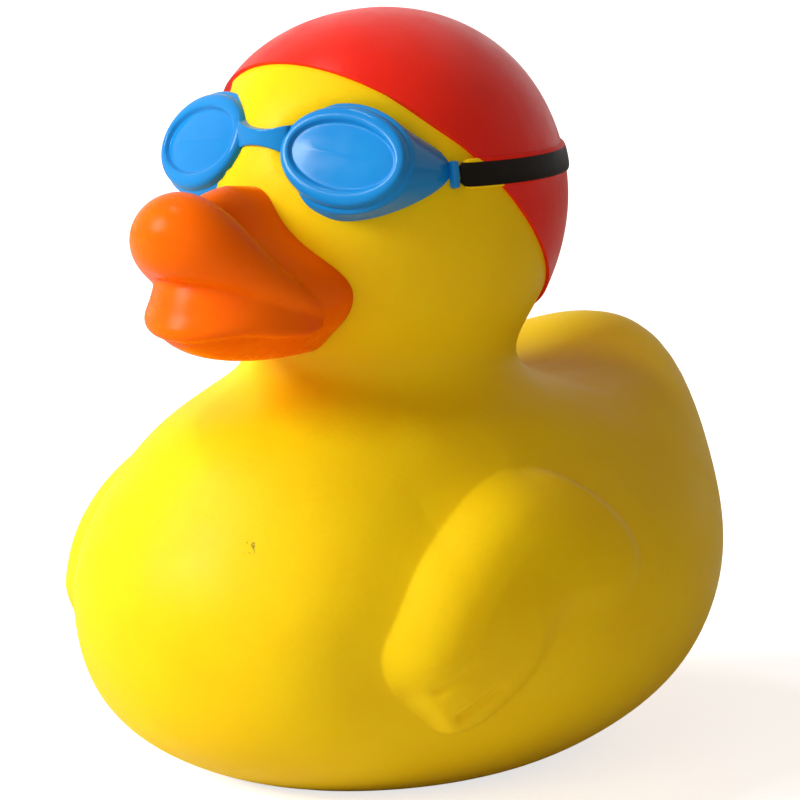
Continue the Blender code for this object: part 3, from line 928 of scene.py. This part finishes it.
def lip_form(table, segments, ring_count, square=1.0, lean=0.0, reach_up=1.0):
    left = np.array([(x * BILL_WIDTH, -y * BILL_REACH, CHIN + z * BILL_TALL) for x, y, z, _ in table])
    path = np.concatenate([left, left[-2::-1] * (-1, 1, 1)])
    thick = np.array([row[3] * BILL_TALL for row in table])
    thick = np.append(thick, thick[-2::-1])
    at = np.append(0, np.cumsum(np.linalg.norm(np.diff(path, axis=0), axis=1)))
    end = at[-1]
    around = end + 2 * left[0, 0]

    def follow(here):
        lines = [loop_spline(at, line, around, here) for line in (*path.T, thick)]
        return np.stack(lines[:3], axis=-1), lines[3]

    def profile(turn):
        """The roll's cross-section for each turn: how far out and how far up."""
        outward = -np.sin(turn)
        outward = np.sign(outward) * np.abs(outward) ** square * np.where(outward < 0, LIP_INNER_SHARE, 1)
        upward = np.cos(turn)
        upward = np.sign(upward) * np.abs(upward) ** square
        outward = outward - lean * (upward + LEAN_MIDDLE) * np.clip(outward * 2, 0, 1)
        return outward, upward * np.where(upward > 0, reach_up, 1)

    def place(points):
        along, turn = turned(points)
        here = along * end
        centre, radius = follow(here)
        ahead = follow(here + end * LIP_STEP)[0] - follow(here - end * LIP_STEP)[0]
        ahead /= np.linalg.norm(ahead, axis=1)[:, None]
        side = np.cross(ahead, (0, 0, 1))
        side /= np.linalg.norm(side, axis=1)[:, None]
        over = np.cross(side, ahead)
        grow = (radius * np.sqrt(np.clip(1 - np.abs(2 * along - 1) ** LIP_END_POWER, 0, 1)))[:, None]
        outward, upward = profile(turn)
        return centre + grow * (-side * outward[:, None] + over * upward[:, None])

    return ball(segments, ring_count, place)


upper_lip = lip_form(UPPER_LIP, 64, 96)
lower_lip = lip_form(LOWER_LIP, 64, 96, square=0.52, lean=0.42, reach_up=1.5)
print("lips:", len(upper_lip.faces) + len(lower_lip.faces), "faces")

# %% [markdown]
# ## One bill
# In the mould the lips and the base run into each other with soft valleys. A voxel remesh turns the
# three closed forms into one skin of small even faces, and a few rounds of smoothing melt the valleys a
# little, as vinyl and paint do. Too many rounds would lose the firm line of the mouth.

# %% Bill
BILL_VOXEL = 0.00018
BILL_SMOOTHINGS = 12


def fused(forms, voxel, rounds):
    """One closed skin round several closed forms."""
    joined = bmesh.new()
    for form in forms:
        add_form(joined, form)
    mesh = bpy.data.meshes.new("fused")
    joined.to_mesh(mesh)
    joined.free()
    holder = bpy.data.objects.new("fused", mesh)
    bpy.context.scene.collection.objects.link(holder)
    remesh = holder.modifiers.new("Fuse", "REMESH")
    remesh.mode = "VOXEL"
    remesh.voxel_size = voxel
    graph = bpy.context.evaluated_depsgraph_get()
    bm = bmesh.new()
    bm.from_object(holder, graph)
    bpy.data.objects.remove(holder)
    bpy.data.meshes.remove(mesh)
    for _ in range(rounds):
        bmesh.ops.smooth_vert(
            bm, verts=bm.verts, factor=0.5, use_axis_x=True, use_axis_y=True, use_axis_z=True
        )
    bmesh.ops.recalc_face_normals(bm, faces=bm.faces)
    bm.normal_update()
    return bm


bill_form = fused((bill_base, upper_lip, lower_lip), BILL_VOXEL, BILL_SMOOTHINGS)
piece("duck_bill", bill_form, orange_paint)

# %% [markdown]
# ## The goggles' frame
# Each goggle is a sunk lens in a raised oval rim, with a skirt that runs back to the face and tapers
# along the temple to the strap. The lens has its own flat plane, turned to the side and up. These three
# directions, across, over and facing, let the rim be drawn as if it lay flat.

# %% Lens plane
LENS_WIDTH = 0.0151
LENS_TALL = 0.0106
LENS_ASIDE = 0.0104
LENS_FORWARD = 0.0145
LENS_HEIGHT = 0.0676
LENS_SPLAY = math.radians(14.0)
LENS_TILT = math.radians(21.5)
LENS_CANT = math.radians(7.8)
CLIP_TURN = math.radians(66)

out_way = Vector((math.cos(LENS_SPLAY), math.sin(LENS_SPLAY), 0))
ahead_way = Vector((math.sin(LENS_SPLAY), -math.cos(LENS_SPLAY), 0))
up_way = Vector((0, 0, 1))
rise_way = up_way * math.cos(LENS_TILT) - ahead_way * math.sin(LENS_TILT)
facing = ahead_way * math.cos(LENS_TILT) + up_way * math.sin(LENS_TILT)
across = out_way * math.cos(LENS_CANT) - rise_way * math.sin(LENS_CANT)
over = rise_way * math.cos(LENS_CANT) + out_way * math.sin(LENS_CANT)
lens_middle = Vector((LENS_ASIDE, -LENS_FORWARD, LENS_HEIGHT))
clip_spot = Vector(level_on_head(CLIP_TURN, np.array([STRAP_HEIGHT]))[0])
clip_across = (clip_spot - lens_middle).dot(across)
clip_over = (clip_spot - lens_middle).dot(over)
print("the clip lies", round(1000 * clip_across, 1), "mm across and", round(1000 * clip_over, 1), "mm over")

# %% [markdown]
# ## The skirt's foot
# The skirt ends on the face in an oval that is drawn out to a blunt point at the clip. The oval is laid
# out on the lens plane, and its depth is found by casting rays back at the head, so the skirt always
# meets the face.

# %% Foot of the skirt
SKIRT_SPREAD = 0.0015
SKIRT_SPREAD_TALL = 0.0012
RAY_START = 0.01
NO_HIT_DEPTH = 0.02


def skirt_foot(turn):
    """Where the skirt meets the face, for each direction round the lens."""
    to_side = np.maximum(np.cos(turn), 0)
    wide = LENS_WIDTH / 2 + SKIRT_SPREAD
    tall = LENS_TALL / 2 + SKIRT_SPREAD_TALL * (0.55 - 0.45 * np.sin(turn))
    blunt = np.minimum(to_side * 1.06, 1)
    a = wide * np.cos(turn) + (clip_across - wide) * blunt**1.3
    b = tall * np.sin(turn) * (1 - 0.25 * to_side) + clip_over * to_side**2
    spots = []
    for here_a, here_b in zip(a, b):
        start = lens_middle + across * here_a + over * here_b + facing * RAY_START
        hit = head_tree.ray_cast(start, -facing)[0]
        spots.append(np.array(hit if hit else start - facing * NO_HIT_DEPTH))
    return np.array(spots)


foot_left = skirt_foot(np.array([0.0]))[0]
print("the skirt reaches the face at the clip at", np.round(1000 * foot_left, 1), "mm")

# %% [markdown]
# ## A goggle cup
# The rings run from the middle of the lens out over the rim, down its wall to a fine groove, and then
# down the skirt to its foot. A row of the rim's profile says how far inside the rim's outer edge a ring
# lies, and how far in front of the lens plane. The cup closes behind the face, out of sight.

# %% Cups
RIM_PROFILE = (
    (-0.00430, -0.00012),
    (-0.00300, -0.00024),
    (-0.00190, -0.00042),
    (-0.00162, -0.00046),
    (-0.00153, -0.00042),
    (-0.00142, -0.00026),
    (-0.00132, -0.00010),
    (-0.00118, 0.00002),
    (-0.00090, 0.00005),
    (-0.00056, -0.00001),
    (-0.00030, -0.00013),
    (-0.00011, -0.00032),
    (0.00000, -0.00062),
    (0.00004, -0.00090),
    (0.00004, -0.00104),
    (0.00012, -0.00113),
    (0.00030, -0.00122),
    (0.00046, -0.00140),
)
RIM_TALLER = 1.2
RIM_NARROWER = 0.87
SKIRT_STEPS = (0.15, 0.35, 0.6, 0.85, 1.0)
LENS_DIP = 0.00007
SKIRT_SINK = 0.0004
FOOT_SINK = 0.0022
BACK_DEPTH = 0.0100
NOSE_GAP = 0.0008


def on_lens_plane(turns, insets, depths):
    """Points round the rim, each on its own oval, with their depth in front of the lens plane."""
    a = (LENS_WIDTH / 2 + insets * RIM_NARROWER) * np.cos(turns)
    b = (LENS_TALL / 2 + insets * RIM_TALLER) * np.sin(turns)
    flat = np.array((facing, across, over))
    return np.array(lens_middle) + np.stack([depths + 0 * a, a, b], axis=-1) @ flat


def cup_form(segments=64):
    last = len(RIM_PROFILE)
    skirt_end = last + len(SKIRT_STEPS)
    count = skirt_end + 2
    bm = bmesh.new()
    bmesh.ops.create_uvsphere(bm, u_segments=segments, v_segments=count, radius=1)
    along, turn = turned(points_of(bm))
    ring = np.rint((1 - along) * count).astype(int)
    inset = np.array([row[0] for row in RIM_PROFILE])
    depth = np.array([row[1] for row in RIM_PROFILE])
    backward = -np.array(facing)
    moved = np.tile(np.array(lens_middle) + backward * LENS_DIP, (len(turn), 1))
    rows = np.flatnonzero((ring > 0) & (ring <= last))
    index = ring[rows] - 1
    moved[rows] = on_lens_plane(turn[rows], inset[index], depth[index])
    rows = np.flatnonzero((ring > last) & (ring <= skirt_end))
    share = np.array(SKIRT_STEPS)[ring[rows] - last - 1][:, None]
    top = on_lens_plane(turn[rows], inset[-1], depth[-1])
    moved[rows] = top + (skirt_foot(turn[rows]) - top) * share + backward * SKIRT_SINK * share
    rows = np.flatnonzero(ring == count - 1)
    moved[rows] = skirt_foot(turn[rows]) + backward * FOOT_SINK
    moved[ring == count] = np.array(lens_middle) + backward * BACK_DEPTH
    moved[:, 0] = np.maximum(moved[:, 0], NOSE_GAP)
    move_to(bm, moved)
    return bm


cup = cup_form()
print("one cup:", len(cup.faces), "faces")

# %% [markdown]
# ## Bridge
# The bridge is a short soft bar between the rims, wider where it joins them. It starts as a cube with
# its edges subdivided, so that it can swell towards its ends and bend back with the face.

# %% Bridge
BRIDGE_LENGTH = 0.0074
BRIDGE_TALL = 0.0021
BRIDGE_DEEP = 0.0024
BRIDGE_HEIGHT = LENS_HEIGHT + 0.0012
BRIDGE_BACK = 0.0004
BRIDGE_BEND = 0.0009
BRIDGE_SAG = 0.0001


def bridge_form():
    bm = bmesh.new()
    bmesh.ops.create_cube(bm, size=1)
    bmesh.ops.subdivide_edges(bm, edges=bm.edges[:], cuts=5, use_grid_fill=True)
    points = points_of(bm)
    side = np.abs(points[:, 0]) * 2
    tall = BRIDGE_TALL * (0.80 + 0.75 * side**2.2)
    deep = BRIDGE_DEEP * (1 - 0.10 * side)
    spot = level_on_head(0.0, np.array([BRIDGE_HEIGHT]))[0]
    x = points[:, 0] * BRIDGE_LENGTH
    y = spot[1] + points[:, 1] * deep + BRIDGE_BACK + BRIDGE_BEND * side**2
    z = BRIDGE_HEIGHT + points[:, 2] * tall - BRIDGE_SAG * side
    move_to(bm, np.stack([x, y, z], axis=-1))
    return bm


bridge = bridge_form()
print("bridge:", len(bridge.faces), "faces")

# %% [markdown]
# ## Goggles
# The clips are small rounded bars between the skirt and the strap, each a cube with bevelled edges. The
# mirror then makes the right cup and clip, and everything becomes one object, because it is one painted
# relief.

# %% Goggles
CLIP_AHEAD = math.radians(0.4)
CLIP_SIZE = (0.0021, 0.0009, STRAP_TALL * 1.16)
CLIP_RADIUS = 0.00032


def clip_form():
    bm = bmesh.new()
    bmesh.ops.create_cube(bm, size=1)
    bmesh.ops.scale(bm, vec=CLIP_SIZE, verts=bm.verts)
    bmesh.ops.bevel(
        bm, geom=bm.edges[:], affect="EDGES", offset=CLIP_RADIUS, segments=2, profile=0.5, material=-1
    )
    outward = Vector(out_of_head(CLIP_TURN + CLIP_AHEAD, STRAP_HEIGHT))
    spot = Vector(level_on_head(CLIP_TURN + CLIP_AHEAD, np.array([STRAP_HEIGHT]))[0])
    turn = outward.to_track_quat("X", "Z").to_matrix().to_4x4()
    bmesh.ops.transform(bm, matrix=Matrix.Translation(spot) @ turn, verts=bm.verts)
    return bm


def goggles_form():
    both = bmesh.new()
    add_form(both, cup)
    add_form(both, clip_form())
    bmesh.ops.mirror(both, geom=both.verts[:] + both.edges[:] + both.faces[:], axis="X", merge_dist=-1)
    add_form(both, bridge)
    bmesh.ops.recalc_face_normals(both, faces=both.faces)
    return both


piece("goggles", goggles_form(), blue_paint, soften=2)

# %% [markdown]
# ## Floor
# The photo was cut out on pure white. A large matt floor stands under the duck and catches its shadow.
# To the camera alone the floor also glows: a little near the duck, where the shadow has to show, and
# fully farther out, so that it meets the white backdrop without a line.

# %% Floor
FLOOR_HALF = 3
PAPER = (0.82, 0.82, 0.82, 1)
PAPER_ROUGHNESS = 0.9
GLOW_NEAR = 0.72
GLOW_FAR = 1.0
NEAR_DUCK = 0.15
FAR_FROM_DUCK = 0.60


def paper_finish():
    material = bpy.data.materials.new("white_paper")
    material.use_nodes = True
    tree = material.node_tree
    matt = tree.nodes["Principled BSDF"]
    matt.inputs["Base Color"].default_value = PAPER
    matt.inputs["Roughness"].default_value = PAPER_ROUGHNESS
    matt.inputs["Specular IOR Level"].default_value = 0.0
    from_duck = new_node(tree, "ShaderNodeVectorMath", operation="LENGTH")
    wire(tree, new_node(tree, "ShaderNodeTexCoord").outputs["Object"], from_duck.inputs[0])
    glow = new_node(tree, "ShaderNodeEmission")
    strength = between(tree, from_duck.outputs["Value"], NEAR_DUCK, FAR_FROM_DUCK, GLOW_NEAR, GLOW_FAR)
    wire(tree, strength, glow.inputs["Strength"])
    dark = new_node(tree, "ShaderNodeEmission")
    dark.inputs["Strength"].default_value = 0.0
    camera_only = new_node(tree, "ShaderNodeMixShader")
    wire(tree, new_node(tree, "ShaderNodeLightPath").outputs["Is Camera Ray"], camera_only.inputs["Fac"])
    wire(tree, dark.outputs[0], camera_only.inputs[1])
    wire(tree, glow.outputs[0], camera_only.inputs[2])
    together = new_node(tree, "ShaderNodeAddShader")
    wire(tree, matt.outputs[0], together.inputs[0])
    wire(tree, camera_only.outputs[0], together.inputs[1])
    output = next(node for node in tree.nodes if node.type == "OUTPUT_MATERIAL")
    wire(tree, together.outputs[0], output.inputs["Surface"])
    return material


floor_form = bmesh.new()
bmesh.ops.create_grid(floor_form, x_segments=1, y_segments=1, size=FLOOR_HALF)
floor_mesh = bpy.data.meshes.new("floor")
floor_form.to_mesh(floor_mesh)
floor_form.free()
floor_mesh.materials.append(paper_finish())
floor = bpy.data.objects.new("floor", floor_mesh)
bpy.context.scene.collection.objects.link(floor)
print("floor is", round(floor.dimensions.x), "m wide")

# %% [markdown]
# ## World
# To the camera and to mirror-like reflections the world is plain white, as the photo's cut-out ground
# is. The light that it casts is a soft warm grey, which fills the duck's shaded side.

# %% World
AMBIENT = 0.23
AMBIENT_COLOUR = (1.0, 0.73, 0.52, 1)
WHITE = (1, 1, 1, 1)


def background(tree, colour, strength):
    node = new_node(tree, "ShaderNodeBackground")
    node.inputs["Color"].default_value = colour
    node.inputs["Strength"].default_value = strength
    return node.outputs[0]


world = bpy.data.worlds.new("studio")
bpy.context.scene.world = world
world.use_nodes = True
world_tree = world.node_tree
world_tree.nodes.clear()
path = new_node(world_tree, "ShaderNodeLightPath").outputs
seen = reckon(world_tree, "MAXIMUM", path["Is Camera Ray"], path["Is Glossy Ray"])
seen = reckon(world_tree, "MAXIMUM", seen, path["Is Transmission Ray"])
mixed = new_node(world_tree, "ShaderNodeMixShader")
wire(world_tree, seen, mixed.inputs["Fac"])
wire(world_tree, background(world_tree, AMBIENT_COLOUR, AMBIENT), mixed.inputs[1])
wire(world_tree, background(world_tree, WHITE, 1.0), mixed.inputs[2])
wire(world_tree, mixed.outputs[0], new_node(world_tree, "ShaderNodeOutputWorld").inputs["Surface"])
print("ambient light", AMBIENT)

# %% [markdown]
# ## Lamps
# In the photo the light comes from the left, a little above, and leaves the right side in soft shade.
# The key lamp gives that. A narrow lamp higher up puts a fine highlight on curved paint, and a large
# weak one near the camera keeps the shade open. A row gives a lamp's way from the duck, as right, up and
# back for the camera, its distance, its watts, its shape and its two sizes. An area lamp shines along
# its own -Z, so its Z axis is pointed away from the duck.

# %% Lamps
DUCK_MIDDLE = Vector((0, 0, 0.04))
LAMPS = (
    ("key_lamp", (-0.87, 0.42, 0.28), 0.9, 8.8, "ELLIPSE", (0.36, 0.40)),
    ("strip_lamp", (-0.40, 0.88, 0.15), 0.8, 0.9, "RECTANGLE", (0.20, 0.016)),
    ("fill_lamp", (-0.35, 0.25, 0.90), 1.2, 2.4, "SQUARE", (1.2, 1.2)),
)


def add_lamp(name, way, distance, watts, shape, sizes):
    right, up, back = way
    outwards = (camera_right * right + camera_up * up + camera_back * back).normalized()
    data = bpy.data.lights.new(name, "AREA")
    data.shape = shape
    data.size, data.size_y = sizes
    data.energy = watts
    lamp = bpy.data.objects.new(name, data)
    turn = outwards.to_track_quat("Z", "Y").to_matrix().to_4x4()
    lamp.matrix_world = Matrix.Translation(DUCK_MIDDLE + outwards * distance) @ turn
    bpy.context.scene.collection.objects.link(lamp)
    print(name, "stands at", [round(value, 2) for value in DUCK_MIDDLE + outwards * distance])


for lamp_values in LAMPS:
    add_lamp(*lamp_values)

# %% [markdown]
# ## Finish
# The view transform is set to Standard, and the view layer is brought up to date. The
# new pieces have to stay within the CAD part's size.

# %% Finish
bpy.context.scene.view_settings.view_transform = "Standard"
bpy.context.view_layer.update()
